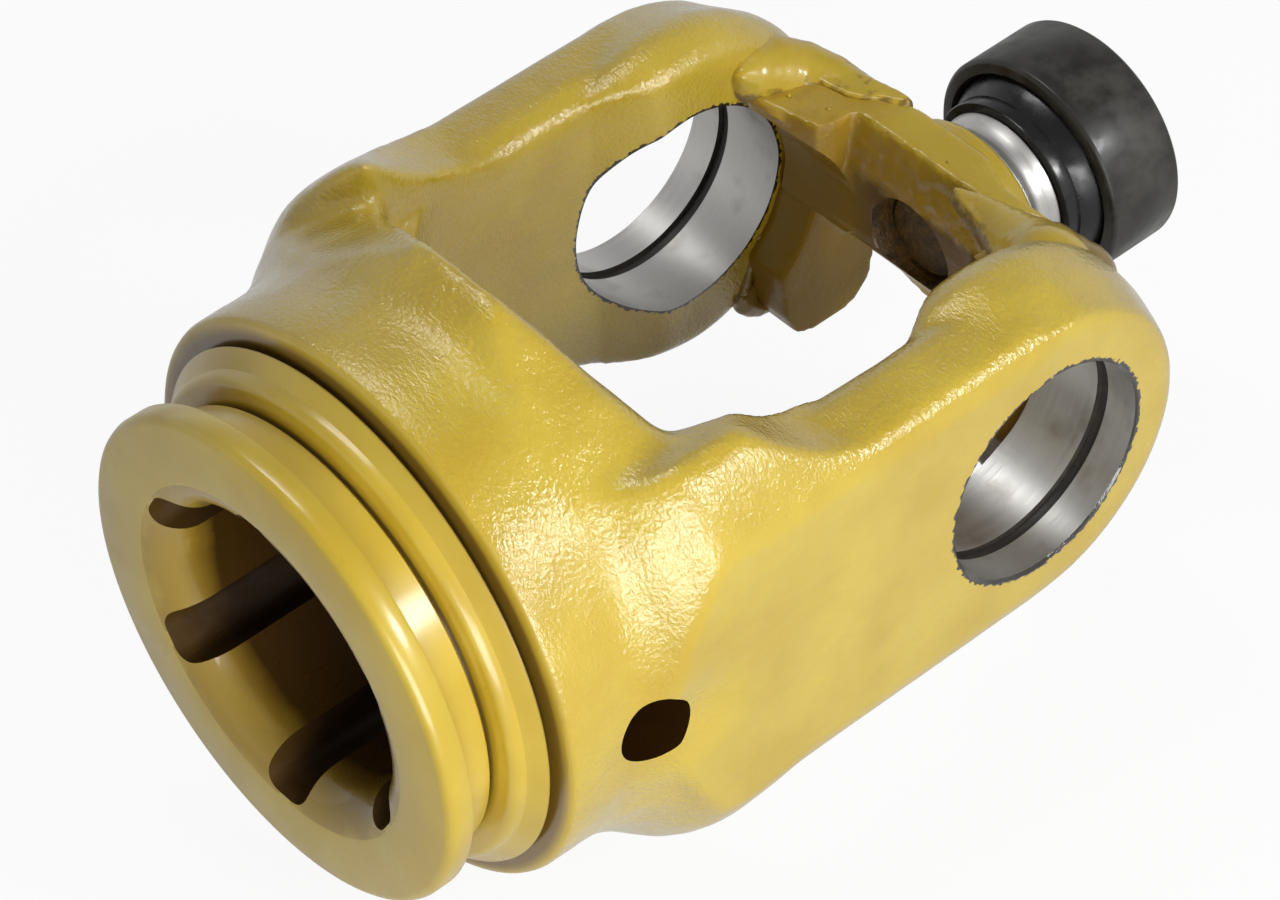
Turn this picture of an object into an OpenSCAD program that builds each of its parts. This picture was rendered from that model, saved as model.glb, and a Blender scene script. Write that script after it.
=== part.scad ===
// Inner yoke of a wide-angle drive-shaft joint, in millimetres.
// +X runs along the hub's axis from the hub's face towards the bearing,
// +Y along the cross bores towards the far arm, +Z up.
// The origin is where the hub's axis meets the cross bores' axis.

/* [Cross bores] */
// Diameter of the bores that hold the cross's bearing cups
cross_d = 32; // [28:0.5:35]
// Distance over the two arms' outer faces
arm_span = 84; // [80:1:96]
// Gap between the arms' inner faces at their tips
tip_gap = 50; // [46:1:54]
// Distance of each ring groove's outer wall from the arm's outer face
ring_inset = 5.2; // [3:0.1:7]
// Width of the ring grooves
ring_w = 1.9; // [1.2:0.1:2.4]
// Depth of the ring grooves below the bore's wall
ring_depth = 0.8; // [0.5:0.1:1.2]
// Break of each bore's edges at the faces
bore_break = 0.5; // [0.2:0.1:0.8]

/* [Arms] */
// Wall of the round eyes around the bores, at the outer faces
eye_wall = 6.2; // [5.6:0.1:7]
// How much thicker that wall is near the inner faces
eye_swell = 4.4; // [3.8:0.1:5.2]
// Height of the straight arms above the hub's axis
arm_top = 23.9; // [22.5:0.1:24.5]
// Depth of the straight arms below the hub's axis
arm_bottom = 23.2; // [22.5:0.1:24.5]
// How much higher and lower the straight arms are at their thickest
draft = 0.8; // [0.4:0.1:1.2]
// Radius of the long outer edges of the arms
arm_edge = 3; // [2:0.25:4]
// Bevel along the edges of the eyes' outer faces
eye_bevel = 0.8; // [0.4:0.1:1.4]
// Height of the arms' roots above the hub's axis
root_top = 26.6; // [25.4:0.2:27.4]
// Half width between the roots, where only the hub's bell reaches up
root_in = 31; // [29:0.5:33]
// Where the roots have run out into the straight arms
root_end = 30; // [27:1:35]
// Gap between the arms beside the hub, where they are thinner
root_gap = 59; // [57:0.5:61]
// Where the inner faces start to slope towards that wider gap
step_x = -4.5; // [-6:0.5:-2]
// Length of the slope
step_len = 8.5; // [6:0.5:10]
// Distance from the bores' axis to the floor of the gap
floor_x = 49; // [48:0.5:50]
// Radius of the gap's corners at that floor
floor_r = 14; // [10:0.5:18]
// Height of the level saddle between the roots, at the gap's floor
saddle_h = 27.9; // [26:0.1:29]
// How far the turned envelope of the roots passes the outer faces
swing_over = 5.3; // [4.6:0.1:6.4]
// How far the bell's crest lies behind the gap's floor
crest_back = 8.2; // [7:0.1:9.5]

/* [Hub] */
// Distance from the bores' axis to the hub's face
hub_len = 91.8; // [89:0.2:100]
// Diameter of the hub's body
body_d = 79; // [77:0.5:80]
// Diameter of the flange at the hub's face
flange_d = 68.6; // [66:0.2:69]
// Thickness of that flange
flange_t = 3.9; // [3:0.1:4.4]
// Diameter of the guard bearing's groove behind the flange
guard_d = 62.2; // [60:0.2:64]
// Width of that groove
guard_w = 5.2; // [4:0.1:6]
// Depth of the narrow relief at the groove's inner end
relief_depth = 1.4; // [0.8:0.1:2]
// Width of the relief
relief_w = 0.8; // [0.5:0.1:1.2]
// Diameter of the round land behind the relief
land_d = 68.6; // [66:0.2:70]
// Where the land's cone ends, from the hub's face
land_end = 13.9; // [13:0.1:14.5]
// Diameter of the cone's wide end
cone_d = 73.2; // [71:0.2:75]
// Width of the seal groove between the cone and the body
seal_w = 0.9; // [0.6:0.1:1.4]
// Diameter of that groove
seal_d = 66.4; // [65:0.2:68]
// Radius of the body's front edge
body_edge = 1; // [0.6:0.1:1.6]
// Length of the body's straight part behind that edge
body_len = 7; // [5:0.5:8]
// Length of the flare from the body to the arms
flare_len = 15.5; // [14:0.5:16.5]
// How far the body has flared out where its back face begins
bell_rise = 5.2; // [4:0.1:6]

/* [Tube profile] */
// Inner diameter of the six-lobed bore that takes the profile tube
profile_d = 40; // [38:0.2:42]
// Diameter over the bottoms of two opposite lobes
lobe_d = 49; // [47:0.2:50]
// Width of each lobe
lobe_w = 7.6; // [6:0.1:8.6]
// Number of lobes
lobes = 6; // [4:1:8]
// Radius of the round mouth at the hub's face
mouth_r = 5.8; // [4:0.1:6.5]
// Diameter of the spring pin's hole across the hub
pin_d = 10; // [8:0.5:12]
// Distance of that hole from the bores' axis
pin_x = 64.5; // [63.5:0.5:67]

/* [Bridge] */
// Where the bridge's inner face lies, from the bores' axis
bridge_in = 16; // [15.5:0.1:16.8]
// Where its outer face lies
bridge_out = 24.5; // [24.25:0.25:27]
// Where its outer face lies at the ends
bridge_end = 21.5; // [20.5:0.25:23]
// Height of its top face above the hub's axis
bridge_top = 15.5; // [14:0.25:17]
// Depth of its bottom face below the hub's axis
bridge_bottom = 14.5; // [13:0.25:16]
// Half length of the straight middle part
bridge_mid = 11; // [10:0.25:13]
// Lean of the inner face's lower part, as run at the bottom edge
bridge_lean = 6.4; // [5:0.2:8]
// Thickness of the feet along the cross bores' axis
foot_t = 7; // [5.5:0.25:8]
// How far the feet reach below the hub's axis
foot_drop = 27.2; // [24:0.2:28]
// Where the feet's inner faces lie, from the bores' axis
foot_in = 12; // [11:0.25:13]
// Width of bare wall left between each cross bore and the foot
bore_land = 1.4; // [1:0.1:2.4]
// Width of the feet outside that wall
foot_w = 14.8; // [13:0.2:16]
// Room between the bridge's middle and what passes through the bores
bore_room = 0.4; // [0.3:0.1:0.8]
// Diameter of the round boss around the stud
boss_d = 26.8; // [26:0.2:28.6]
// Height of that boss on the outer face
boss_h = 3.5; // [2:0.25:4]
// Size of the fillet welds along the feet
weld = 3.4; // [2.5:0.1:4]

/* [Stud] */
// Diameter of the stud inside the bearing
stud_d = 17; // [15:0.5:18]
// Height of the shoulder that the bearing's inner ring rests on
shoulder_rise = 2.6; // [2:0.1:3]
// How far the neck behind the shoulder is drawn in
neck_in = 1.1; // [0.6:0.1:1.8]
// How far the flare's foot on the bridge passes the shoulder
flare_out = 0.4; // [0:0.1:1.2]
// Where the shoulder's face lies, from the bores' axis
shoulder_x = 33.5; // [32.5:0.1:34]
// Length of the tail held in the bridge and its boss
tail_len = 9; // [7:0.25:10]
// Diameter of that tail
tail_d = 13; // [12:0.2:13.4]
// Radial play between the tail and its hole before welding
tail_play = 0.02; // [0.01:0.01:0.05]
// How much wider the weld pocket is than the tail, on the radius
pocket_rise = 0.5; // [0.3:0.1:1]

/* [Bearing] */
// Distance from the bores' axis to the ball's centre
ball_x = 44.2; // [43.5:0.1:45]
// Diameter of the ball surface
ball_d = 29.8; // [29:0.1:30.2]
// Diameter of the inner ring's collar on the yoke's side
collar_d = 24.6; // [23.6:0.1:25.2]
// Distance from the ball's centre to the inner ring's far face
inner_back = 8; // [7:0.1:8.4]
// Wall of the outer ring at its middle
outer_wall = 1.45; // [1.2:0.05:2.2]
// Width of the outer ring
outer_w = 12.5; // [12:0.1:13]
// Radial play between ball and outer ring
ball_play = 0.05; // [0.02:0.01:0.1]
// Radial play between stud and inner ring
stud_play = 0.03; // [0.01:0.01:0.08]
// Play between the inner ring's faces and what holds it on the stud
side_play = 0.1; // [0.05:0.01:0.2]
// Chamfer of the outer ring's edges
outer_break = 0.6; // [0.3:0.1:0.8]
// Depth of the retaining ring's groove in the stud
clip_sink = 0.8; // [0.5:0.1:1]
// Width of the retaining ring on the stud
clip_t = 1.2; // [1:0.1:1.4]
// Width of the opening in the retaining ring
clip_gap = 4.4; // [3:0.2:6]
// Play of the retaining ring in its groove
clip_play = 0.05; // [0.02:0.01:0.1]
// How far the retaining ring stands out of the stud
clip_rise = 2; // [1.6:0.1:2.4]

/* [Hidden] */
$fn = 96;
// Overlap of cutters past the faces they cut
e = 0.02;
// Overlap of the straight arms with the hub
lap = 4;

cross_r = cross_d / 2;
arm_y = arm_span / 2;
eye_out_r = cross_r + eye_wall;
eye_r = eye_out_r + eye_swell;
swing_r = arm_y + swing_over;
gap_y = tip_gap / 2;
root_y = root_gap / 2;
body_r = body_d / 2;
bell_r = body_r + bell_rise;
crest_x = -floor_x - crest_back;
// Where the hub and the roots end inside the gap, which cuts them off
inside_x = 3 - floor_x;
// Slope from the bell's crest down to the gap's floor, as shares of its
// length and drops below the crest
slope_x = [for (share = [0, 0.22, 0.51, 1]) crest_x + share * crest_back];
slope_r = [for (drop = [0, 1.4, 5.5, 13]) bell_r - drop];
relief_r = guard_d / 2 - relief_depth;
face_x = -hub_len;
body_x = face_x + land_end + seal_w;
flare_x = body_x + body_len;
arm_x = flare_x + flare_len;
// Where the roots begin inside the hub's body
root_x = body_x + 2;
foot_r = cross_r + bore_land + foot_w;
stud_r = stud_d / 2;
shoulder_r = stud_r + shoulder_rise;
neck_r = shoulder_r - neck_in;
flare_r = shoulder_r + flare_out;
ball_r = ball_d / 2;
outer_r = ball_r + ball_play + outer_wall;
ring_x = shoulder_x + side_play;
inner_x = ball_x + inner_back;
clip_x = inner_x + side_play;
stud_end = clip_x + clip_t + 1.9;
tail_r = tail_d / 2;
boss_x = bridge_out + boss_h;
tail_x = boss_x - tail_len;
// Length of the cutters that pass right through the forging
through = 2 * hub_len;

yellow = [0.72, 0.6, 0.2];
steel = [0.75, 0.75, 0.74];
black = [0.1, 0.1, 0.11];

// Turned solid about X from a list of [x, radius] points
module turned(points) {
    rotate([90, 0, 90])
        rotate_extrude()
            polygon([for (p = points) [p[1], p[0]]]);
}

// Side outline of the arms' roots, from the hub to the straight arms
module root_outline() {
    polygon([
        [root_x, -body_r - 2],
        [root_x, body_r + 2],
        each [for (i = [0 : 3]) [slope_x[i], slope_r[i]]],
        [inside_x, root_top + 3.4],
        [-floor_x + 8, root_top + 1.5],
        [-root_end - 5, root_top - 0.8],
        [-root_end, arm_top],
        [-root_end, 0],
        [-floor_x + 6, -arm_bottom],
        [inside_x, -arm_bottom - 2],
        each [for (i = [3 : -1 : 0]) [slope_x[i], -slope_r[i]]],
    ]);
}

// Section across one straight arm, with draft and round edges
module arm_section() {
    inner = root_y - 0.5;
    top = arm_top + draft;
    bottom = -arm_bottom - draft;
    turn = [0 : 22.5 : 90];
    edge_y = arm_y - arm_edge;
    polygon([
        [inner, bottom + 5.2],
        [inner + 1.5, bottom + 2.6],
        [inner + 4.5, bottom + 0.3],
        each [for (a = turn)
            [edge_y + arm_edge * sin(a), -arm_bottom + arm_edge * (1 - cos(a))]],
        each [for (a = turn)
            [edge_y + arm_edge * cos(a), arm_top - arm_edge * (1 - sin(a))]],
        [inner + 4, top],
        [inner + 1.4, top - 1.3],
        [inner, top - 3.4],
    ]);
}

// Round eye at an arm's tip, drawn about the cross bores' axis
module eye() {
    mid_r = 0.6 * eye_r + 0.4 * eye_out_r;
    rotate([-90, 0, 0])
        rotate_extrude()
            polygon([
                [0, gap_y - 2],
                [eye_r - 3.6, gap_y - 2],
                [eye_r - 3.1, gap_y],
                [eye_r - 1.2, gap_y + 1.7],
                [eye_r - 0.1, gap_y + 4.4],
                [mid_r, arm_y - 7],
                [eye_out_r + 0.4, arm_y - eye_bevel],
                [eye_out_r, arm_y],
                [0, arm_y],
            ]);
}

// Gap between the arms: narrow at the tips, wider beside the hub,
// with round corners at its floor
module gap_outline() {
    x0 = step_x - step_len;
    polygon([
        [x0, -root_y],
        [x0, root_y],
        [step_x, gap_y],
        [2 * eye_r, gap_y],
        [2 * eye_r, -gap_y],
        [step_x, -gap_y],
    ]);
    translate([-floor_x + floor_r, -root_y])
        square([floor_x - floor_r + x0, root_gap]);
    translate([-floor_x, -root_y + floor_r])
        square([floor_r + 1, root_gap - 2 * floor_r]);
    for (s = [-1, 1])
        translate([-floor_x + floor_r, s * (root_y - floor_r)])
            circle(r = floor_r);
}

// Level saddle between the roots, where the bell's slope meets the gap
module saddle() {
    rotate([90, 0, 0])
        linear_extrude(height = 2 * root_in + 1, center = true)
            polygon([
                [crest_x - 2, saddle_h],
                [inside_x, saddle_h],
                [inside_x, -saddle_h],
                [crest_x - 2, -saddle_h],
            ]);
}

// Both arms' roots: a turned bell cut to the side outline on each side
module roots() {
    rise = swing_r - body_r;
    intersection() {
        turned([
            [root_x, 0],
            [root_x, body_r - 0.4],
            [flare_x + 0.25 * flare_len, body_r + 0.11 * rise],
            [flare_x + 0.4 * flare_len, body_r + 0.2 * rise],
            [flare_x + 0.55 * flare_len, body_r + 0.35 * rise],
            [flare_x + 0.7 * flare_len, body_r + 0.55 * rise],
            [flare_x + 0.85 * flare_len, body_r + 0.8 * rise],
            [arm_x, swing_r - 0.4],
            [arm_x + 2, swing_r],
            [-root_end + 1, swing_r - 0.6],
            [-root_end + 1, 0],
        ]);
        for (s = [-1, 1])
            translate([0, s * (arm_y + root_in) / 2, 0])
                rotate([90, 0, 0])
                    linear_extrude(height = arm_y - root_in, center = true)
                        root_outline();
    }
}

// Both arms as one forging blank, before machining
module arms() {
    difference() {
        union() {
            roots();
            saddle();
            for (s = [-1, 1])
                mirror([0, s < 0 ? 1 : 0, 0]) {
                    translate([-floor_x - lap, 0, 0])
                        rotate([90, 0, 90])
                            linear_extrude(height = floor_x + lap)
                                arm_section();
                    eye();
                }
        }
        linear_extrude(height = through, center = true)
            gap_outline();
    }
}

// Turned hub: flange, guard groove, relief, land, cone, seal groove and body
module hub() {
    rim = flange_d / 2;
    groove_in = face_x + flange_t + guard_w;
    relief_in = groove_in + relief_w;
    cone_in = face_x + land_end;
    turned([
        [face_x, 0],
        [face_x, rim - 1.2],
        [face_x + 0.4, rim - 0.4],
        [face_x + 1.2, rim],
        [face_x + flange_t - 0.3, rim],
        [face_x + flange_t, rim - 0.3],
        [face_x + flange_t, guard_d / 2],
        [groove_in, guard_d / 2],
        [groove_in, relief_r],
        [relief_in, relief_r],
        [relief_in, land_d / 2 - 1.4],
        [relief_in + 0.5, land_d / 2 - 0.5],
        [relief_in + 1.3, land_d / 2],
        [cone_in - 2, land_d / 2],
        [cone_in - 1.2, cone_d / 2 - 1.2],
        [cone_in, cone_d / 2],
        [cone_in, seal_d / 2],
        [body_x, seal_d / 2],
        [body_x, body_r - body_edge],
        [body_x + 0.3 * body_edge, body_r - 0.3 * body_edge],
        [body_x + body_edge, body_r],
        [flare_x + 1.5, body_r],
        [flare_x + 0.4 * flare_len, 0.82 * body_r + 0.18 * bell_r],
        [flare_x + 0.65 * flare_len, 0.42 * body_r + 0.58 * bell_r],
        each [for (i = [0 : 3]) [slope_x[i], slope_r[i]]],
        [-floor_x + 2, bell_r - 17.2],
        [inside_x, bell_r - 20.5],
        [inside_x, 0],
    ]);
}

// Six-lobed bore for the profile tube, with its round mouth
module profile_bore() {
    translate([face_x - 1, 0, 0])
        rotate([0, 90, 0])
            cylinder(h = hub_len, r = profile_d / 2);
    for (i = [0 : lobes - 1])
        rotate([30 + i * 360 / lobes, 0, 0])
            translate([face_x - 1, 0, 0])
                rotate([0, 90, 0])
                    linear_extrude(height = hub_len)
                        intersection() {
                            translate([-lobe_w / 2, 0])
                                square([lobe_w, lobe_d]);
                            circle(r = lobe_d / 2);
                        }
    // The mouth's curve meets the face and the bore at a small angle
    bow = 0.985 * mouth_r;
    difference() {
        translate([face_x - 0.5, 0, 0])
            rotate([0, 90, 0])
                cylinder(h = bow + 0.5, r = profile_d / 2 + bow);
        translate([face_x + bow, 0, 0])
            rotate([0, 90, 0])
                rotate_extrude()
                    translate([profile_d / 2 + bow, 0])
                        circle(r = mouth_r);
    }
}

// One cross bore through both arms, its ring grooves and edge breaks
module cross_bores() {
    rotate([90, 0, 0])
        cylinder(h = through, r = cross_r, center = true);
    for (s = [-1, 1])
        mirror([0, s < 0 ? 1 : 0, 0]) {
            translate([0, arm_y - ring_inset, 0])
                rotate([90, 0, 0])
                    cylinder(h = ring_w, r = cross_r + ring_depth);
            translate([0, arm_y + e, 0])
                rotate([90, 0, 0])
                    cylinder(
                        h = bore_break + e,
                        r1 = cross_r + bore_break + e,
                        r2 = cross_r
                    );
        }
}

// Forged yoke with its machined bores
module yoke() {
    color(yellow)
        difference() {
            union() {
                arms();
                intersection() {
                    hub();
                    cube([through, arm_span, through], center = true);
                }
            }
            profile_bore();
            cross_bores();
            translate([-pin_x, 0, 0])
                rotate([90, 0, 0])
                    cylinder(h = through, r = pin_d / 2, center = true);
        }
}

// Outline of a foot in the X-Z plane: it hugs the cross bore on its inside
// and follows a larger circle about the same axis outside
module foot_outline() {
    intersection() {
        difference() {
            circle(r = foot_r);
            circle(r = cross_r + bore_land);
        }
        polygon([
            [foot_in - 3, bridge_top],
            [bridge_end - 0.4, bridge_top],
            [bridge_end + 2.2, bridge_top - 3.5],
            [bridge_end + 4.5, bridge_top - 9],
            [bridge_end + 6, 0],
            [bridge_end + 6, -foot_drop + 4],
            [bridge_end + 2, -foot_drop],
            [foot_in + 2, -foot_drop],
            [foot_in + 0.4, -foot_drop + 1.4],
            [foot_in - 1.5, -bridge_bottom],
            [foot_in - 3, -bridge_bottom],
        ]);
    }
}

// Plan outline of the bridge's bar: bowed outside, flared ends inside
module bridge_plan() {
    polygon([
        [bridge_in, -bridge_mid],
        [bridge_in, bridge_mid],
        [foot_in - 3, gap_y - 1],
        [bridge_end, gap_y - 1],
        [bridge_end, bridge_mid + 1],
        [bridge_out, bridge_mid / 2],
        [bridge_out, -bridge_mid / 2],
        [bridge_end, -bridge_mid - 1],
        [bridge_end, -gap_y + 1],
        [foot_in - 3, -gap_y + 1],
    ]);
}

// Bridge blank: bar with a leaning lower face, round boss, feet and welds
module bridge_blank() {
    bar_x = foot_in - 4;
    lean_rise = 1.33 * bridge_lean;
    intersection() {
        translate([0, 0, -bridge_bottom])
            linear_extrude(height = bridge_top + bridge_bottom)
                bridge_plan();
        rotate([90, 0, 0])
            linear_extrude(height = tip_gap, center = true)
                difference() {
                    polygon([
                        [bar_x, bridge_top],
                        [bridge_out - 0.8, bridge_top],
                        [bridge_out + 0.1, bridge_top - 0.9],
                        [bridge_out + 0.1, -bridge_bottom],
                        [bridge_in + bridge_lean, -bridge_bottom],
                        [bridge_in, -bridge_bottom + lean_rise],
                        [bar_x, -bridge_bottom + lean_rise],
                    ]);
                    circle(r = cross_r + bore_room);
                }
    }
    for (s = [-1, 1])
        mirror([0, s < 0 ? 1 : 0, 0]) {
            translate([0, gap_y, 0])
                rotate([90, 0, 0])
                    linear_extrude(height = foot_t)
                        foot_outline();
            weld_seam();
        }
    translate([bridge_out - 1, 0, 0])
        rotate([0, 90, 0])
            cylinder(h = boss_h + 1, r = boss_d / 2);
}

// Fillet weld in the corner between a foot's top and the arm's inner face
module weld_seam() {
    intersection() {
        translate([foot_in, 0, 0])
            rotate([90, 0, 90])
                linear_extrude(height = bridge_end - foot_in)
                    polygon([
                        [gap_y, bridge_top - 1],
                        [gap_y - weld, bridge_top - 1],
                        [gap_y - weld, bridge_top],
                        [gap_y, bridge_top + weld],
                    ]);
        rotate([90, 0, 0])
            cylinder(h = arm_span, r = eye_r - 0.9, center = true);
    }
}

// Bridge with the stud's hole and the weld pocket at its inner end
module bridge() {
    color(yellow)
        difference() {
            bridge_blank();
            rotate([0, 90, 0])
                cylinder(h = 2 * bridge_out, r = tail_r + tail_play);
            rotate([0, 90, 0])
                cylinder(h = tail_x, r = tail_r + pocket_rise);
        }
}

// Stud: tail in the bridge, flared neck, shoulder, journal and ring groove
module stud() {
    color(steel)
        difference() {
            turned([
                [tail_x + 0.3, 0],
                [tail_x + 0.3, tail_r - 0.6],
                [tail_x + 0.9, tail_r],
                [boss_x, tail_r],
                [boss_x, flare_r],
                [boss_x + 0.8, flare_r],
                [boss_x + 1.4, flare_r - 1],
                [boss_x + 2.2, neck_r + 0.4],
                [boss_x + 2.8, neck_r],
                [shoulder_x - 1.4, shoulder_r - 0.3],
                [shoulder_x - 0.3, shoulder_r],
                [shoulder_x, shoulder_r - 0.3],
                [shoulder_x, stud_r],
                [stud_end - 1, stud_r],
                [stud_end, stud_r - 1],
                [stud_end, 0],
            ]);
            translate([clip_x - clip_play, 0, 0])
                rotate([0, 90, 0])
                    difference() {
                        cylinder(h = clip_t + 2 * clip_play, r = stud_d);
                        translate([0, 0, -1])
                            cylinder(h = clip_t + 3, r = stud_r - clip_sink);
                    }
        }
}

// Inner ring: ball surface with a collar on the yoke's side, chamfered bore
module inner_ring() {
    bore_r = stud_r + stud_play;
    len = inner_x - ring_x;
    color(black)
        difference() {
            union() {
                intersection() {
                    translate([ball_x, 0, 0])
                        rotate([0, 90, 0])
                            sphere(r = ball_r);
                    translate([ring_x, 0, 0])
                        rotate([0, 90, 0])
                            cylinder(h = len, r = ball_r + 1);
                }
                translate([ring_x, 0, 0])
                    rotate([0, 90, 0])
                        cylinder(h = len / 2, r = collar_d / 2);
            }
            translate([ring_x - 1, 0, 0])
                rotate([0, 90, 0])
                    cylinder(h = len + 2, r = bore_r);
            translate([ring_x - e, 0, 0])
                rotate([0, 90, 0])
                    cylinder(h = 0.6 + e, r1 = bore_r + 0.6 + e, r2 = bore_r);
            translate([inner_x + e, 0, 0])
                rotate([0, -90, 0])
                    cylinder(h = 0.6 + e, r1 = bore_r + 0.6 + e, r2 = bore_r);
        }
}

// Outer ring: plain cylinder outside, chamfered edges, ball seat inside
module outer_ring() {
    r = outer_r;
    h = outer_w / 2;
    seat_r = ball_r + ball_play;
    lip_r = sqrt(seat_r * seat_r - h * h) + 0.9;
    color(black)
        difference() {
            turned([
                [ball_x - h, 0],
                [ball_x - h, r - outer_break],
                [ball_x - h + outer_break, r],
                [ball_x + h - outer_break, r],
                [ball_x + h, r - outer_break],
                [ball_x + h, 0],
            ]);
            translate([ball_x, 0, 0])
                rotate([0, 90, 0])
                    sphere(r = seat_r);
            for (s = [-1, 1])
                translate([ball_x + s * (h + e), 0, 0])
                    rotate([0, -90 * s, 0])
                        cylinder(h = 1 + e, r1 = lip_r, r2 = lip_r - 0.7);
        }
}

// Retaining ring that keeps the bearing on the stud
module retaining_ring() {
    r_in = stud_r - clip_sink + clip_play;
    color(steel)
        translate([clip_x, 0, 0])
            rotate([0, 90, 0])
                linear_extrude(height = clip_t)
                    difference() {
                        circle(r = stud_r + clip_rise);
                        circle(r = r_in);
                        translate([0, -clip_gap / 2])
                            square([stud_d, clip_gap]);
                    }
}

yoke();
bridge();
stud();
inner_ring();
outer_ring();
retaining_ring();
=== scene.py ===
# %% Frame
import math

import bpy
from mathutils import Matrix, Vector


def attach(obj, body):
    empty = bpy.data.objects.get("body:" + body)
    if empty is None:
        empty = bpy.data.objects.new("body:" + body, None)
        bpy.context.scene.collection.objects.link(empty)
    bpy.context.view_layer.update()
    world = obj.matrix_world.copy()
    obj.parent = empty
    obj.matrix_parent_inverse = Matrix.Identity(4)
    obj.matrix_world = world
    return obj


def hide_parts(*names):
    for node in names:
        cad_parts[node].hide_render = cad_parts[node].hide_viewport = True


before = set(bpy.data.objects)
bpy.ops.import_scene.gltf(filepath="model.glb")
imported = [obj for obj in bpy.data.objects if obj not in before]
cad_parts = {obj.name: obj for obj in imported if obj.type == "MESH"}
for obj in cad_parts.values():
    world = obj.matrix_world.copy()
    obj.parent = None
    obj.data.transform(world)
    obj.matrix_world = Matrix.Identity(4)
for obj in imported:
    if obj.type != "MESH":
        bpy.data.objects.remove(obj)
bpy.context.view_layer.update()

MM = 0.001
print("CAD nodes:", sorted(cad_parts))

# %% [markdown]
# The object is an inner yoke of a wide-angle drive-shaft joint. Every length below is in millimetres in the drawing's
# frame: X runs along the hub towards the bearing, Y along the cross bores, Z up. One short helper turns
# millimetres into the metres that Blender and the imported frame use, so that the numbers read like a drawing.

# %% Small helpers


def mm(*values):
    return Vector([v * MM for v in values])


def deselect():
    if bpy.context.object and bpy.context.object.mode != "OBJECT":
        bpy.ops.object.mode_set(mode="OBJECT")
    bpy.ops.object.select_all(action="DESELECT")


def activate(piece):
    deselect()
    piece.select_set(True)
    bpy.context.view_layer.objects.active = piece


def apply_place(piece):
    activate(piece)
    bpy.ops.object.transform_apply(location=True, rotation=True, scale=True)


def apply_modifier(piece, kind, **settings):
    activate(piece)
    modifier = piece.modifiers.new(kind.lower(), kind)
    for key, value in settings.items():
        setattr(modifier, key, value)
    bpy.ops.object.modifier_apply(modifier=modifier.name)


def cut(piece, tool, how="DIFFERENCE"):
    apply_modifier(piece, "BOOLEAN", object=tool, operation=how, solver="MANIFOLD")
    bpy.data.objects.remove(tool)


def join(pieces, name):
    deselect()
    for piece in pieces:
        piece.select_set(True)
    bpy.context.view_layer.objects.active = pieces[0]
    bpy.ops.object.join()
    pieces[0].name = name
    return pieces[0]


# %% [markdown]
# Two kinds of solid make nearly everything here. What a lathe turns is a profile spun about an axis. What is flat on
# two sides is an outline that is drawn, filled and extruded. Both start from one vertex that is extruded from point
# to point, as when a line is drawn by hand.

# %% Drawing helpers


def draw_line(name, points):
    """One vertex is extruded from point to point, as when a profile is drawn by hand."""
    deselect()
    bpy.ops.mesh.primitive_plane_add(size=MM, location=(0, 0, 0))
    piece = bpy.context.object
    piece.name = name
    bpy.ops.object.mode_set(mode="EDIT")
    bpy.ops.mesh.merge(type="CENTER")
    last = Vector((0, 0, 0))
    for i, point in enumerate(points):
        place = mm(*point)
        if i == 0:
            bpy.ops.transform.translate(value=place)
        else:
            bpy.ops.mesh.extrude_region_move(TRANSFORM_OT_translate={"value": place - last})
        last = place
    return piece


def turned(name, points, axis="X", centre=(0, 0, 0), steps=96):
    """A profile of (place along the axis, radius) is drawn and spun about that axis."""
    if axis == "X":
        line = [(a, 0, r) for a, r in points]
        direction = (1, 0, 0)
    else:
        line = [(0, a, r) for a, r in points]
        direction = (0, 1, 0)
    line = [tuple(p[i] + centre[i] for i in range(3)) for p in line]
    piece = draw_line(name, line)
    bpy.ops.mesh.select_all(action="SELECT")
    bpy.ops.mesh.spin(
        steps=steps, angle=math.tau, use_auto_merge=True, center=mm(*centre), axis=direction
    )
    bpy.ops.mesh.select_all(action="SELECT")
    bpy.ops.mesh.remove_doubles(threshold=0.002 * MM)
    bpy.ops.mesh.normals_make_consistent(inside=False)
    bpy.ops.object.mode_set(mode="OBJECT")
    return piece


def quarter_turn(steps):
    """Angles from nought to a right angle, for a rounded corner."""
    return [math.pi / 2 * i / steps for i in range(steps + 1)]


def mirrored(points):
    """The outline's upper half is given, and its lower half is added."""
    return points + [(x, -z) for x, z in reversed(points)]


def prism(name, points, low, high, plane="XY"):
    """A closed outline is drawn in a plane, filled, and extruded along the third axis."""
    place = {
        "XY": lambda a, b: (a, b, low),
        "XZ": lambda a, b: (a, low, b),
        "YZ": lambda a, b: (low, a, b),
    }[plane]
    lift = {"XY": (0, 0, 1), "XZ": (0, 1, 0), "YZ": (1, 0, 0)}[plane]
    piece = draw_line(name, [place(a, b) for a, b in points])
    bpy.ops.mesh.select_all(action="SELECT")
    bpy.ops.mesh.edge_face_add()
    bpy.ops.mesh.extrude_region_move(
        TRANSFORM_OT_translate={"value": mm(*[v * (high - low) for v in lift])}
    )
    bpy.ops.mesh.select_all(action="SELECT")
    bpy.ops.mesh.normals_make_consistent(inside=False)
    bpy.ops.object.mode_set(mode="OBJECT")
    return piece


def held(value, low=0.0, high=1.0):
    """The value, held between low and high."""
    return min(high, max(low, value))


def count(piece):
    piece.data.calc_loop_triangles()
    return f"{piece.name}: {len(piece.data.vertices)} points, {len(piece.data.loop_triangles)} triangles"


# %% [markdown]
# The camera stands where the photographer stood. Its direction was worked out from the photograph by matching the
# hub's rings, both cross bores and the bearing, which fixes the angle, the distance and a small roll.

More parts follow.
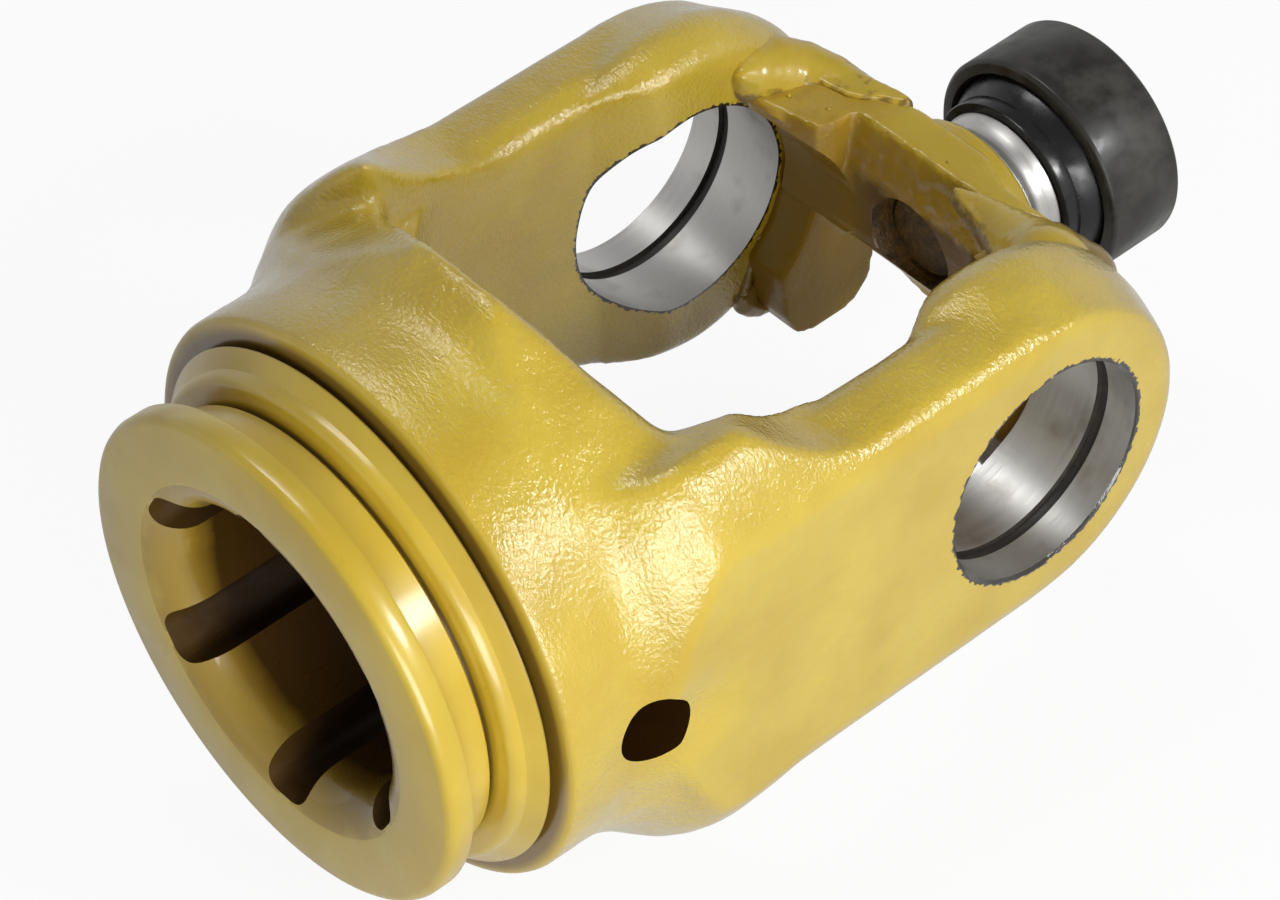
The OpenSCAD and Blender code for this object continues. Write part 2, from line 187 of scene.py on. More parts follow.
# %% Camera
right = Vector((0.74596, -0.66527, -0.03089))
down = Vector((-0.48802, -0.51446, -0.7051))
forward = Vector((0.45319, 0.54105, -0.70843))
turn = Matrix((right, -down, -forward)).transposed().to_euler()
bpy.ops.object.camera_add(location=mm(-320.686, -345.503, 447.466), rotation=turn)
camera = bpy.context.object
camera.name = "camera"
camera.data.lens = 140.625
camera.data.sensor_width = 36
camera.data.clip_start = 0.02
camera.data.clip_end = 20
bpy.context.scene.camera = camera
print("camera at", [round(v, 3) for v in camera.location])

# %% [markdown]
# The floor is a plain plane just under the part. Light Path tells what kind of ray asks for its colour: the camera
# sees it nearly white, a reflection sees less than half of that, and for all other rays it is a grey that throws
# little light back. So the picture is pale, while the part keeps its contrast and its shadow.

# %% Floor
FLOOR_Z = -45.2
FLOOR_WHITE = 0.92
FLOOR_MIRRORED = 0.45
FLOOR_GREY = 0.3
bpy.ops.mesh.primitive_plane_add(size=6, location=mm(0, 0, FLOOR_Z))
floor = bpy.context.object
floor.name = "floor"
bpy.ops.object.transform_apply(location=True, rotation=False, scale=True)
bpy.ops.object.mode_set(mode="EDIT")
bpy.ops.mesh.subdivide(number_cuts=3)
bpy.ops.object.mode_set(mode="OBJECT")


def seen_directly(tree, mirrored_share=1.0):
    """1 for camera and transmission rays, a share for glossy rays, else 0."""
    path = tree.nodes.new("ShaderNodeLightPath")
    dimmed = tree.nodes.new("ShaderNodeMath")
    dimmed.operation = "MULTIPLY"
    dimmed.inputs[1].default_value = mirrored_share
    tree.links.new(path.outputs["Is Glossy Ray"], dimmed.inputs[0])
    most = None
    for ray in (path.outputs["Is Camera Ray"], dimmed.outputs[0], path.outputs["Is Transmission Ray"]):
        node = tree.nodes.new("ShaderNodeMath")
        node.operation = "MAXIMUM"
        node.inputs[1].default_value = 0
        tree.links.new(ray, node.inputs[0])
        if most:
            tree.links.new(most, node.inputs[1])
        most = node.outputs[0]
    return most


floor_finish = bpy.data.materials.new("floor_pale")
floor_finish.use_nodes = True
tree = floor_finish.node_tree
tree.nodes.clear()
out = tree.nodes.new("ShaderNodeOutputMaterial")
mix = tree.nodes.new("ShaderNodeMixShader")
glow = tree.nodes.new("ShaderNodeEmission")
dull = tree.nodes.new("ShaderNodeBsdfDiffuse")
pale = tree.nodes.new("ShaderNodeMix")
pale.data_type = "RGBA"
pale.inputs["A"].default_value = (FLOOR_GREY, FLOOR_GREY, FLOOR_GREY, 1)
pale.inputs["B"].default_value = (FLOOR_WHITE, FLOOR_WHITE, FLOOR_WHITE, 1)
share = tree.nodes.new("ShaderNodeMath")
share.operation = "MULTIPLY"
share.inputs[1].default_value = FLOOR_WHITE
direct = seen_directly(tree, FLOOR_MIRRORED)
tree.links.new(direct, share.inputs[0])
tree.links.new(direct, pale.inputs["Factor"])
tree.links.new(pale.outputs["Result"], dull.inputs["Color"])
tree.links.new(share.outputs[0], mix.inputs["Fac"])
tree.links.new(dull.outputs[0], mix.inputs[1])
tree.links.new(glow.outputs[0], mix.inputs[2])
tree.links.new(mix.outputs[0], out.inputs["Surface"])
floor.data.materials.append(floor_finish)
print("floor at", FLOOR_Z)

# %% [markdown]
# The surround is the world. It too is pale to the camera and in reflections, a little darker overhead so that glossy
# ridges don't wash out, and it lights the part only weakly.

# %% Surround
SURROUND_LIGHT = 0.15
PALE_SIDES = 0.9
PALE_OVERHEAD = 0.3
world = bpy.data.worlds.new("studio")
bpy.context.scene.world = world
world.use_nodes = True
tree = world.node_tree
tree.nodes.clear()
out = tree.nodes.new("ShaderNodeOutputWorld")
mix = tree.nodes.new("ShaderNodeMixShader")
soft = tree.nodes.new("ShaderNodeBackground")
white = tree.nodes.new("ShaderNodeBackground")
soft.inputs["Color"].default_value = (1, 1, 1, 1)
soft.inputs["Strength"].default_value = SURROUND_LIGHT
where = tree.nodes.new("ShaderNodeTexCoord")
split = tree.nodes.new("ShaderNodeSeparateXYZ")
fade = tree.nodes.new("ShaderNodeMapRange")
fade.inputs["From Min"].default_value = 0.05
fade.inputs["From Max"].default_value = 0.75
fade.inputs["To Min"].default_value = PALE_SIDES
fade.inputs["To Max"].default_value = PALE_OVERHEAD
white.inputs["Color"].default_value = (1, 1, 1, 1)
tree.links.new(where.outputs["Generated"], split.inputs["Vector"])
tree.links.new(split.outputs["Z"], fade.inputs["Value"])
tree.links.new(fade.outputs[0], white.inputs["Strength"])
tree.links.new(seen_directly(tree), mix.inputs["Fac"])
tree.links.new(soft.outputs[0], mix.inputs[1])
tree.links.new(white.outputs[0], mix.inputs[2])
tree.links.new(mix.outputs[0], out.inputs["Surface"])
print("surround from", PALE_SIDES, "to", PALE_OVERHEAD)

# %% [markdown]
# Three soft boxes do the lighting, as in a small photo studio. The key box on the near side gives the streaks on the
# hub's rings, the low side box fills the hub's face and shows on the ball, and the top box gives the glints on the
# ridges.

# %% Soft boxes


def soft_box(name, place, aim, width, height, power):
    """An area lamp; its place, aim and size are in millimetres and its power in watts."""
    at = mm(*place)
    towards = mm(*aim) - at
    bpy.ops.object.light_add(
        type="AREA", location=at, rotation=towards.to_track_quat("-Z", "Y").to_euler()
    )
    lamp = bpy.context.object
    lamp.name = name
    lamp.data.shape = "RECTANGLE"
    lamp.data.size = width * MM
    lamp.data.size_y = height * MM
    lamp.data.energy = power
    return lamp


soft_box("key_box", (190, -600, 430), (-20, -20, 0), 200, 170, 2.5)
soft_box("side_box", (-330, -520, 30), (0, 0, 0), 400, 460, 4.2)
soft_box("top_box", (-60, 250, 700), (-20, 0, 0), 100, 380, 1.2)

bpy.context.scene.view_settings.view_transform = "Standard"
print("studio ready")

# %% [markdown]
# Every finish is a Principled shader with a little help: noise on Object coordinates for uneven tone and gloss, masks
# that follow a place on the piece, and a bump for the skin that is too fine to model. One small class keeps the
# wiring readable, because a node tree in code is mostly links.

# %% Node helper


class Finish:
    """A material under construction: nodes are added by kind, and values may be numbers or other nodes' outputs."""

    def __init__(self, name):
        self.material = bpy.data.materials.new(name)
        self.material.use_nodes = True
        self.tree = self.material.node_tree
        self.shader = self.tree.nodes["Principled BSDF"]
        self.where = self.tree.nodes.new("ShaderNodeTexCoord").outputs["Object"]
        self.xyz = self.add("SeparateXYZ", Vector=self.where).outputs

    def add(self, kind, **inputs):
        node = self.tree.nodes.new("ShaderNode" + kind)
        for key, value in inputs.items():
            self.set(node.inputs[key.replace("_", " ")], value)
        return node

    def set(self, socket, value):
        if isinstance(value, bpy.types.NodeSocket):
            self.tree.links.new(value, socket)
        else:
            socket.default_value = value

    def math(self, kind, a, b=0.0, clamp=False):
        node = self.tree.nodes.new("ShaderNodeMath")
        node.operation = kind
        node.use_clamp = clamp
        self.set(node.inputs[0], a)
        self.set(node.inputs[1], b)
        return node.outputs[0]

    def ramp(self, value, low, high, bottom=0.0, top=1.0):
        """Value is taken from low..high to bottom..top, and held at the ends."""
        node = self.add("MapRange", Value=value)
        for key, number in zip(("From Min", "From Max", "To Min", "To Max"), (low, high, bottom, top)):
            node.inputs[key].default_value = number
        return node.outputs[0]

    def noise(self, size_mm, detail=3.0, stretch=(1, 1, 1), rough=0.5):
        """Noise whose spots are about size_mm wide, stretched along the axes."""
        scale = 1000.0 / size_mm
        mapping = self.add("Mapping", Vector=self.where)
        mapping.inputs["Scale"].default_value = [scale / v for v in stretch]
        node = self.add("TexNoise", Vector=mapping.outputs[0], Scale=1.0, Detail=detail, Roughness=rough)
        return node.outputs[0]

    def blend(self, amount, first, second):
        node = self.tree.nodes.new("ShaderNodeMix")
        node.data_type = "RGBA"
        self.set(node.inputs["Factor"], amount)
        self.set(node.inputs["A"], first)
        self.set(node.inputs["B"], second)
        return node.outputs["Result"]

    def bump(self, height, depth_mm, before=None):
        node = self.add("Bump", Height=height, Distance=depth_mm * MM)
        node.inputs["Strength"].default_value = 1.0
        if before is not None:
            self.set(node.inputs["Normal"], before)
        return node.outputs[0]

    def radius(self, a, b):
        """Distance from an axis, in millimetres, from two of the Object coordinates."""
        square = self.math("ADD", self.math("MULTIPLY", a, a), self.math("MULTIPLY", b, b))
        return self.math("MULTIPLY", self.math("SQRT", square), 1000.0)

    def along(self, axis):
        """Place along an axis, in millimetres."""
        return self.math("MULTIPLY", self.xyz[axis], 1000.0)

    def ragged(self, value, size_mm, spread, detail=3.0):
        """The value plus or minus some noise, so that a border drawn with it is uneven."""
        return self.math("ADD", value, self.ramp(self.noise(size_mm, detail), 0.3, 0.7, -spread, spread))

print("node helper ready")

# %% [markdown]
# The yellow coat is a thick sprayed paint. Over the forged skin it takes on an orange peel with ridges well under a
# millimetre, which breaks the soft boxes into glints; over machined and flat faces it lies smooth. A clear coat over
# the base gives the wet shine. It shares the peel's bump, because a smooth coat would mirror a whole soft box.

# %% Paint
YELLOW = (0.64, 0.465, 0.045, 1)
YELLOW_DEEP = (0.56, 0.385, 0.026, 1)


def paint(name, rough, peel_mm, peel_depth, wave_depth=0.0, flat_faces=False):
    """The yellow coat: peel and waves are bumps, and their depths are in millimetres."""
    f = Finish(name)
    tone = f.noise(14, 3)
    colour = f.blend(f.ramp(tone, 0.35, 0.65), YELLOW_DEEP, YELLOW)
    f.set(f.shader.inputs["Roughness"], f.ramp(f.noise(5, 3), 0.3, 0.7, rough - 0.06, rough + 0.07))
    f.shader.inputs["Coat Weight"].default_value = 0.5
    f.shader.inputs["Coat Roughness"].default_value = 0.06
    peel = f.noise(peel_mm, 3, (1, 1.6, 1.3), 0.55)
    if flat_faces:
        # The coined outer faces of the arms keep an eighth of the peel
        side = f.math("MULTIPLY", f.math("ABSOLUTE", f.xyz["Y"]), 1000.0)
        rough_skin = f.ramp(side, 41.2, 41.9, 1.0, 0.12)
        peel = f.math("MULTIPLY", peel, rough_skin)
    normal = f.bump(peel, peel_depth)
    if wave_depth:
        normal = f.bump(f.noise(3.2, 2), wave_depth, normal)
    f.set(f.shader.inputs["Normal"], normal)
    f.set(f.shader.inputs["Coat Normal"], normal)
    return f, colour


# %% [markdown]
# The forging wears the coat at its thickest. The cross bores were kept free of paint, and a thin dark line runs around
# each of them where the coat ends. A mask by the distance from the bores' axis draws that line, and noise makes it
# ragged. It is a little wider on the near arm.

# %% Finish of the forged skin
BURNT = (0.012, 0.008, 0.005, 1)
f, colour = paint("forged_paint", 0.2, 0.5, 0.17, 0.12, flat_faces=True)
f.shader.inputs["Coat Weight"].default_value = 0.9
edge = f.ragged(f.radius(f.xyz["X"], f.xyz["Z"]), 0.9, 0.35)
edge = f.math("ADD", edge, f.ramp(f.along("Y"), -10, 10, 0.0, 0.25))
colour = f.blend(f.ramp(edge, 16.55, 16.75, 1.0, 0.0), colour, BURNT)
f.set(f.shader.inputs["Base Color"], colour)
forged_paint = f.material
print(forged_paint.name, "ready")

# %% [markdown]
# On turned faces the coat lies smooth and shows softer streaks. The bottoms of the two grooves are painted browner, as
# painted shade: one mask is for the guard bearing's groove behind the flange, the other for the narrow seal groove in
# front of the body, with the body's front face.

# %% Finish of the turned faces
GROOVE_SHADE_BROWN = (0.17, 0.085, 0.012, 1)
f, colour = paint("turned_paint", 0.33, 2.0, 0.015)
around = f.radius(f.xyz["Y"], f.xyz["Z"])
along = f.along("X")
# Painted shade: brown in the guard groove's bottom, the seal groove and the body's front face
guard_groove = f.math("MULTIPLY", f.ramp(around, 30.2, 30.9, 1.0, 0.0), f.ramp(along, -84.0, -83.0))
seal_groove = f.math("MULTIPLY", f.ramp(along, -78.2, -77.95), f.ramp(around, 37.6, 38.9, 1.0, 0.0))
painted_groove_shade = f.math("MULTIPLY", f.math("MAXIMUM", guard_groove, seal_groove), 0.85)
colour = f.blend(painted_groove_shade, colour, GROOVE_SHADE_BROWN)
f.shader.inputs["Coat Weight"].default_value = 0.6
f.shader.inputs["Coat Roughness"].default_value = 0.18
f.set(f.shader.inputs["Base Color"], colour)
turned_paint = f.material
print(turned_paint.name, "ready")

# %% [markdown]
# Inside the hub the colour darkens with depth, from yellow at the mouth to dark brown a good way in: partly
# the spray thins out, partly it is painted shade of the deep bore. So the colour is a row of steps along X, each
# with a ragged border. The lobes' floors are painted darker still, as painted shade of the narrow grooves, and get
# their own finish. The ring grooves in the cross bores are painted nearly black, as painted shade.

# %% Finishes inside the bores
# Where each step of the thinning overspray and painted shade starts and is complete along X, and its colour
OVERSPRAY_AND_SHADE = [
    (-92.6, -91.4, (0.40, 0.262, 0.032, 1)),
    (-89.0, -85.5, (0.20, 0.115, 0.012, 1)),
    (-85.5, -84.0, (0.06, 0.028, 0.004, 1)),
    (-82.0, -68.0, (0.035, 0.014, 0.002, 1)),
]
# Painted shade: the bore darkens step by step with depth, along with the thinning spray
f, colour = paint("bore_overspray_and_shade", 0.3, 1.5, 0.03)
depth = f.ragged(f.along("X"), 5, 0.5)
for start, end, deeper in OVERSPRAY_AND_SHADE:
    colour = f.blend(f.ramp(depth, start, end), colour, deeper)
f.shader.inputs["Specular IOR Level"].default_value = 0.35
f.set(f.shader.inputs["Base Color"], colour)
bore_overspray_and_shade = f.material

f = Finish("lobe_shade")
depth = f.ragged(f.along("X"), 4, 1.2)
colour = f.blend(f.ramp(depth, -90.0, -82.0), (0.085, 0.042, 0.006, 1), (0.02, 0.008, 0.001, 1))
f.set(f.shader.inputs["Base Color"], colour)
f.set(f.shader.inputs["Roughness"], f.ramp(f.noise(3, 3), 0.3, 0.7, 0.35, 0.5))
f.set(f.shader.inputs["Normal"], f.bump(f.noise(1.4, 3), 0.05))
lobe_shade = f.material

# Painted shade: the spring ring grooves in the cross bores are painted nearly black
f = Finish("ring_groove_shade")
f.set(f.shader.inputs["Base Color"], f.blend(f.noise(1.2, 3), (0.02, 0.018, 0.016, 1), (0.07, 0.06, 0.05, 1)))
f.shader.inputs["Roughness"].default_value = 0.45
ring_groove_shade = f.material
print("overspray in", len(OVERSPRAY_AND_SHADE), "steps")

# %% [markdown]
# The bridge's side towards the cross is painted browner, as painted shade: a little on the sheared strip along the
# top edge, more below it, and at the feet, where its gloss is lowered too. The far end next to the weld is dull as
# well. The weld pocket in the middle shows crusty scale.

# %% Finishes of the bridge
# Painted shade on the side towards the cross: browner below the top edge, darker low down and at the feet
INNER_SHADE_BROWN = (0.36, 0.20, 0.018, 1)
SHADED_BROWN = (0.11, 0.052, 0.005, 1)
FAR_END_BROWN = (0.42, 0.25, 0.02, 1)
f, colour = paint("bridge_paint", 0.3, 1.2, 0.12, 0.1)
x = f.ragged(f.along("X"), 2.4, 0.5, 4)
z = f.ragged(f.along("Z"), 2.4, 0.8, 4)
inner = f.ramp(x, 17.0, 19.0, 1.0, 0.0)
colour = f.blend(f.math("MULTIPLY", inner, f.ramp(z, 14.6, 15.6, 0.8, 0.0)), colour, INNER_SHADE_BROWN)
shaded = f.math("MULTIPLY", inner, f.ramp(z, 6.0, 8.0, 0.9, 0.0))
feet = f.ramp(f.math("MULTIPLY", f.math("ABSOLUTE", f.xyz["Y"]), 1000.0), 15.5, 17.5)
shaded = f.math("MAXIMUM", shaded, f.math("MULTIPLY", feet, f.ramp(z, 2.0, 9.0, 0.8, 0.0)))
colour = f.blend(shaded, colour, SHADED_BROWN)
f.set(f.shader.inputs["Coat Weight"], f.ramp(shaded, 0.0, 0.8, 0.4, 0.1))
f.set(f.shader.inputs["Specular IOR Level"], f.ramp(shaded, 0.0, 0.8, 0.5, 0.2))
colour = f.blend(f.ramp(f.along("Y"), 6.0, 11.0, 0.0, 0.6), colour, FAR_END_BROWN)
f.set(f.shader.inputs["Base Color"], colour)
bridge_paint = f.material

f = Finish("pocket_scale")
crust = f.ramp(f.noise(1.6, 4), 0.4, 0.65)
f.set(f.shader.inputs["Base Color"], f.blend(crust, (0.05, 0.024, 0.003, 1), (0.12, 0.062, 0.008, 1)))
f.shader.inputs["Roughness"].default_value = 0.5
f.set(f.shader.inputs["Normal"], f.bump(f.noise(1.1, 4, (1, 1, 1), 0.65), 0.4))
pocket_scale = f.material
print(bridge_paint.name, "and", pocket_scale.name, "ready")

# %% [markdown]
# The beads were painted with the rest. Low down they are painted browner, as painted shade at the foot of the top
# beads and all over the beads at the feet, and soot from the welding shows through in a few spots.

# %% Finish of the welds
# Painted shade: the beads are browner low down
WELD_SHADE_BROWN = (0.17, 0.09, 0.012, 1)
f, colour = paint("weld_paint", 0.36, 1.6, 0.06, 0.1)
seam = f.ragged(f.along("Z"), 1.8, 0.9, 4)
colour = f.blend(f.ramp(seam, 15.4, 16.2, 0.8, 0.0), colour, WELD_SHADE_BROWN)
soot = f.ramp(f.noise(2.6, 4, (1, 1, 1), 0.7), 0.66, 0.72, 0.0, 0.9)
colour = f.blend(f.math("MULTIPLY", soot, f.ramp(seam, 15.2, 17.5, 1.0, 0.0)), colour, BURNT)
f.set(f.shader.inputs["Base Color"], colour)
weld_paint = f.material
print(weld_paint.name, "ready")

# %% [markdown]
# Bare steel shows fine rings from the tool, so its noise is squeezed along the turning axis. The black rings are
# oxide-finished steel: dark, not metallic to the eye, matte on the outer ring and glossy on the ball.

# %% Steel and black rings


def steel(name, axis, rough, tone=0.62):
    """Turned steel with rings about the axis, and some stains."""
    f = Finish(name)
    stretch = {"X": (1, 60, 60), "Y": (60, 1, 60)}[axis]
    marks = f.noise(0.35, 3, stretch, 0.6)
    stain = f.noise(6, 4)
    dull = (0.92 * tone, 0.9 * tone, 0.87 * tone, 1)
    bright = (tone, 0.99 * tone, 0.96 * tone, 1)
    colour = f.blend(f.ramp(marks, 0.3, 0.7), dull, bright)
    colour = f.blend(f.ramp(stain, 0.55, 0.75, 0.0, 0.5), colour, (0.24, 0.2, 0.15, 1))
    f.set(f.shader.inputs["Base Color"], colour)
    f.shader.inputs["Metallic"].default_value = 1.0
    f.set(f.shader.inputs["Roughness"], f.ramp(marks, 0.3, 0.7, rough - 0.04, rough + 0.06))
    f.set(f.shader.inputs["Normal"], f.bump(marks, 0.0025))
    return f.material


def black(name, rough, colour, smudge):
    """Black oxide with smudges, whose gloss is as cloudy as its colour."""
    f = Finish(name)
    cloud = f.noise(7, 5, (1, 1, 1), 0.6)
    f.set(f.shader.inputs["Base Color"], f.blend(f.ramp(cloud, 0.42, 0.66), colour, smudge))
    film = f.noise(3.5, 5, (1, 1, 1), 0.6)
    f.set(f.shader.inputs["Roughness"], f.ramp(film, 0.35, 0.65, rough - 0.1, rough + 0.12))
    f.set(f.shader.inputs["Normal"], f.bump(f.noise(0.5, 2), 0.004))
    return f.material


bore_steel = steel("bore_steel", "Y", 0.42)
stud_steel = steel("stud_steel", "X", 0.42, 0.66)
ring_black = black("ring_black", 0.4, (0.013, 0.012, 0.009, 1), (0.055, 0.053, 0.047, 1))
ball_black = black("ball_black", 0.25, (0.008, 0.008, 0.009, 1), (0.014, 0.014, 0.015, 1))
print("metals ready")

# %% [markdown]
# The yoke is one forging. Forgings are fat, round and a little lumpy, so the blank is put together from overlapping
# simple solids (a turned bell, the turned envelope of the roots, two arms, two eyes), which a voxel remesh melts into
# one skin. It could also be sculpted, but solids with sizes are easier to set against a drawing.
#
# First comes the bell behind the turned front of the hub. It is spun, and two outlines cut its crest down: one seen
# from the side, which makes it a lens, and one seen along the hub, which gives it a roof's slopes.

# %% Bell
ARM_Y = 42.0
# The forged skin of the hub lies this far off the turned axis
SHIFT = (0, -0.1, 0.5)
bell = turned(
    "bell",
    [
        (-76, 0), (-76, 39.6), (-68, 39.65), (-65.4, 39.9), (-63.6, 40.6), (-61.8, 42), (-60.2, 43.3),
        (-58.8, 44.1), (-57.4, 44.3), (-46, 44.3), (-46, 0),
    ],
    centre=SHIFT,
)
crest = [(-90, 0), (-90, 46), (-59, 46), (-49.2, 29), (-46, 23.6), (-46, 0)]
cut(bell, prism("crest_back", mirrored(crest), -ARM_Y, ARM_Y, "XZ"), "INTERSECT")
cut(bell, prism("tent", [(-50, -50), (-50, 16.8), (0, 48.6), (50, 16.8), (50, -50)], -90, -40, "YZ"), "INTERSECT")
print(count(bell))

# %% [markdown]
# The roots of the arms swing out of the bell. Their outside is turned on the hub's axis too, so they start as a spun
# body. An outline from the side gives them the saddle that falls towards the arms, an outline along the hub parts
# the two roots, and a corner is cut from the far one, which the photograph shows slanted.

# %% Roots
swing = turned(
    "swing",
    [
        (-75, 0), (-75, 38.6), (-70, 39.0), (-66, 40.1), (-64, 40.9), (-62, 41.9), (-60, 43.2), (-58, 44.8),
        (-56, 46.3), (-54.5, 47.1), (-52, 47.4), (-29, 46.9), (-29, 0),
    ],
)
side = prism(
    "side_outline",
    [
        (-75, -41.5), (-75, 41.5), (-57.2, 46), (-55.4, 44.8), (-52, 41), (-49, 37.3), (-46, 34), (-43, 31.2),
        (-40, 28.8), (-37, 26.9), (-34, 25.5), (-29.5, 24.2), (-29.5, 0), (-43, -22.5), (-46, -25.6),
        (-49, -31.7), (-53, -39.2), (-55.4, -43.3), (-57.2, -44.7),
    ],
    -ARM_Y, ARM_Y, "XZ",
)
roots = prism(
    "roots",
    [
        (42, -50), (42, 50), (27.4, 50), (26.6, 24), (-24, 24), (-25, 27.4), (-33, 32.4), (-35, 31.8),
        (-42, 25.2), (-42, -50), (-27, -50), (-27, 22), (26.6, 22), (26.6, -50),
    ],
    -80, -20, "YZ",
)
FLOOR_X = -49
far_corner = prism(
    "far_corner",
    [(-90, 15), (FLOOR_X, 15), (FLOOR_X, 27), (-57.2, 35.2), (-64, 42), (-64, 46), (-90, 46)],
    24, 60, "XY",
)
cut(swing, side, "INTERSECT")
cut(swing, roots, "INTERSECT")
cut(swing, far_corner)
print(count(swing))

# %% [markdown]
# Each arm is a bar with rounded edges, and each eye a spun ring of metal around the cross bore that swells towards the
# inside. The arms are drawn taller than they end up, because the smoothing afterwards rounds their edges down. The
# near eye swells a little less than the far one. All the solids then become one skin.

# %% Arms, eyes and the blank
VOXEL = 0.75
parts = [bell, swing]
for s in (-1, 1):
    arm = prism(
        "arm",
        [
            (s * y, z)
            for y, z in [
                (29, -18.6), (30.4, -21.4), (33, -23.5), (38.6, -24), (40.5, -23.5), (41.5, -22.3), (ARM_Y, -20.6),
                (ARM_Y, 20.6), (41.6, 22.4), (40.4, 23.8), (38.6, 24.4), (33, 25.1), (30.6, 24), (29, 21.6),
            ]
        ],
        -53, 0, "YZ",
    )
    wide = 0.45 * s
    eye = turned(
        "eye",
        [
            (s * 23, 0), (s * 23, 22.4 + wide), (s * 25, 23.2 + wide), (s * 26.6, 25.1 + wide),
            (s * 29.4, 26.3 + wide), (s * 32, 26.1 + wide), (s * 35, 25.2), (s * 38.4, 23.9), (s * 41, 23),
            (s * 41.8, 22.3), (s * 42, 0),
        ],
        "Y",
        (0, 0, 0.25),
    )
    parts += [arm, eye]
forging = join(parts, "forging")
apply_modifier(forging, "REMESH", mode="VOXEL", voxel_size=VOXEL * MM)
print(count(forging))

# %% [markdown]
# The gap between the arms is cut out of that blank, narrow at the tips and wider beside the hub, with round corners at
# its floor. High up, the far root's corner is squarer, so a wedge more is taken from it. A second remesh makes even
# faces of the cut ones.

# %% Gap between the arms
GAP_Y = 25.0
ROOT_Y = 29.5
FLOOR_R = 13.5
half = [
    (FLOOR_X + FLOOR_R - FLOOR_R * math.cos(a), ROOT_Y - FLOOR_R + FLOOR_R * math.sin(a)) for a in quarter_turn(9)
]
half += [(-13, ROOT_Y), (-4.5, GAP_Y), (60, GAP_Y)]
cut(forging, prism("gap", mirrored(half), -70, 70, "XY"))
cut(forging, prism("far_wall", [(FLOOR_X, 20), (FLOOR_X, 27), (-36, ROOT_Y), (-36, 20)], 24, 60, "XY"))
apply_modifier(forging, "REMESH", mode="VOXEL", voxel_size=VOXEL * MM)
print(count(forging))

# %% [markdown]
# Hand work comes next. Each row of this list grabs the point of the skin nearest to a place and pulls it, with all
# its neighbours within reach, as a sculptor's grab brush does. The first row flattens the near side at the pin hole,
# and the second lifts the lower inner edge of the far arm.

# %% Pulls on the skin


def pull(piece, place, move, reach):
    at = mm(*place)
    nearest = min(piece.data.vertices, key=lambda v: (v.co - at).length_squared).index
    activate(piece)
    bpy.ops.object.mode_set(mode="EDIT")
    bpy.ops.mesh.select_all(action="DESELECT")
    bpy.ops.object.mode_set(mode="OBJECT")
    piece.data.vertices[nearest].select = True
    bpy.ops.object.mode_set(mode="EDIT")
    bpy.ops.transform.translate(
        value=mm(*move), use_proportional_edit=True, proportional_edit_falloff="SMOOTH",
        proportional_size=reach * MM, use_proportional_connected=False,
    )
    bpy.ops.object.mode_set(mode="OBJECT")


PULLS = [
    # place, move, reach
    ((-60, -42, 0), (0, 1.1, 0), 9),
    ((-6, 25, -21), (0, 0.3, 0.5), 10),
]
for place, move, reach in PULLS:
    pull(forging, place, move, reach)
print("pulls:", len(PULLS))

# %% [markdown]
# Smoothing shrinks edges more than faces, which is what dies and shot blasting do to a forging. The hub end and the
# roots get more of it than the eyes, and the tips of the roots, where the cut left them thin, get most. A slow cloud
# of noise then moves the skin by some tenths of a millimetre; the coined outer faces of the arms stay flat.

# %% Soften and wave the skin
group = forging.vertex_groups.new(name="soft")
waves = forging.vertex_groups.new(name="waves")
for v in forging.data.vertices:
    x, y, z = v.co / MM
    group.add([v.index], held((-18 - x) / 25, 0.25), "REPLACE")
    waves.add([v.index], held((41.6 - abs(y)) / 1.5) * held((x + 74) / 4), "REPLACE")
apply_modifier(forging, "SMOOTH", factor=0.5, iterations=5)
apply_modifier(forging, "SMOOTH", factor=0.5, iterations=4, vertex_group="soft")
tips = forging.vertex_groups.new(name="tips")
for v in forging.data.vertices:
    away = (v.co - mm(-51, math.copysign(29, v.co.y), 36)).length / MM
    tips.add([v.index], held((13 - away) / 5), "REPLACE")
apply_modifier(forging, "SMOOTH", factor=0.5, iterations=45, vertex_group="tips")
cloud = bpy.data.textures.new("skin_cloud", "CLOUDS")
cloud.noise_scale = 0.009
cloud.noise_depth = 1
apply_modifier(
    forging, "DISPLACE", texture=cloud, texture_coords="LOCAL", strength=0.5 * MM, mid_level=0.5,
    vertex_group="waves",
)
forging.vertex_groups.clear()
print(count(forging))

# %% [markdown]
# The hub's front is turned, so it is made the way a lathe makes it: a profile spun about X, with small radii on its
# edges. From the face it runs over the flange, the guard bearing's groove, the land and the cone to the seal groove.
# It is united with the forged skin, whose front edge is turned as well.

# %% Turned front of the hub
HUB_X = -91.8
ROUND_STEPS = 144
front = turned(
    "hub_front",
    [
        (HUB_X, 0), (HUB_X, 33.0), (-91.6, 33.6), (-91.2, 34.05), (-90.6, 34.3), (-88.3, 34.3), (-88.0, 34.15),
        (-87.9, 33.9), (-87.9, 31.4), (-87.6, 31.1), (-82.9, 31.1), (-82.7, 30.9), (-82.7, 29.7), (-81.9, 29.7),
        (-81.9, 33.1), (-81.6, 33.75), (-81.0, 34.2), (-80.4, 34.35), (-79.9, 34.45), (-79.1, 35.3),
        (-78.3, 36.3), (-78.05, 36.5), (-77.9, 36.4), (-77.9, 33.2), (-74, 33.2), (-74, 0),
    ],
    steps=ROUND_STEPS,
)
rim = turned(
    "body_rim",
    [(-77, 0), (-77, 38.5), (-76.9, 39.05), (-76.6, 39.4), (-76.1, 39.6), (-72.5, 39.65), (-72.5, 0)],
    centre=SHIFT,
    steps=ROUND_STEPS,
)
cut(forging, prism("trim", [(-100, -60), (-100, 60), (-73.5, 60), (-73.5, -60)], -60, 60, "XY"))
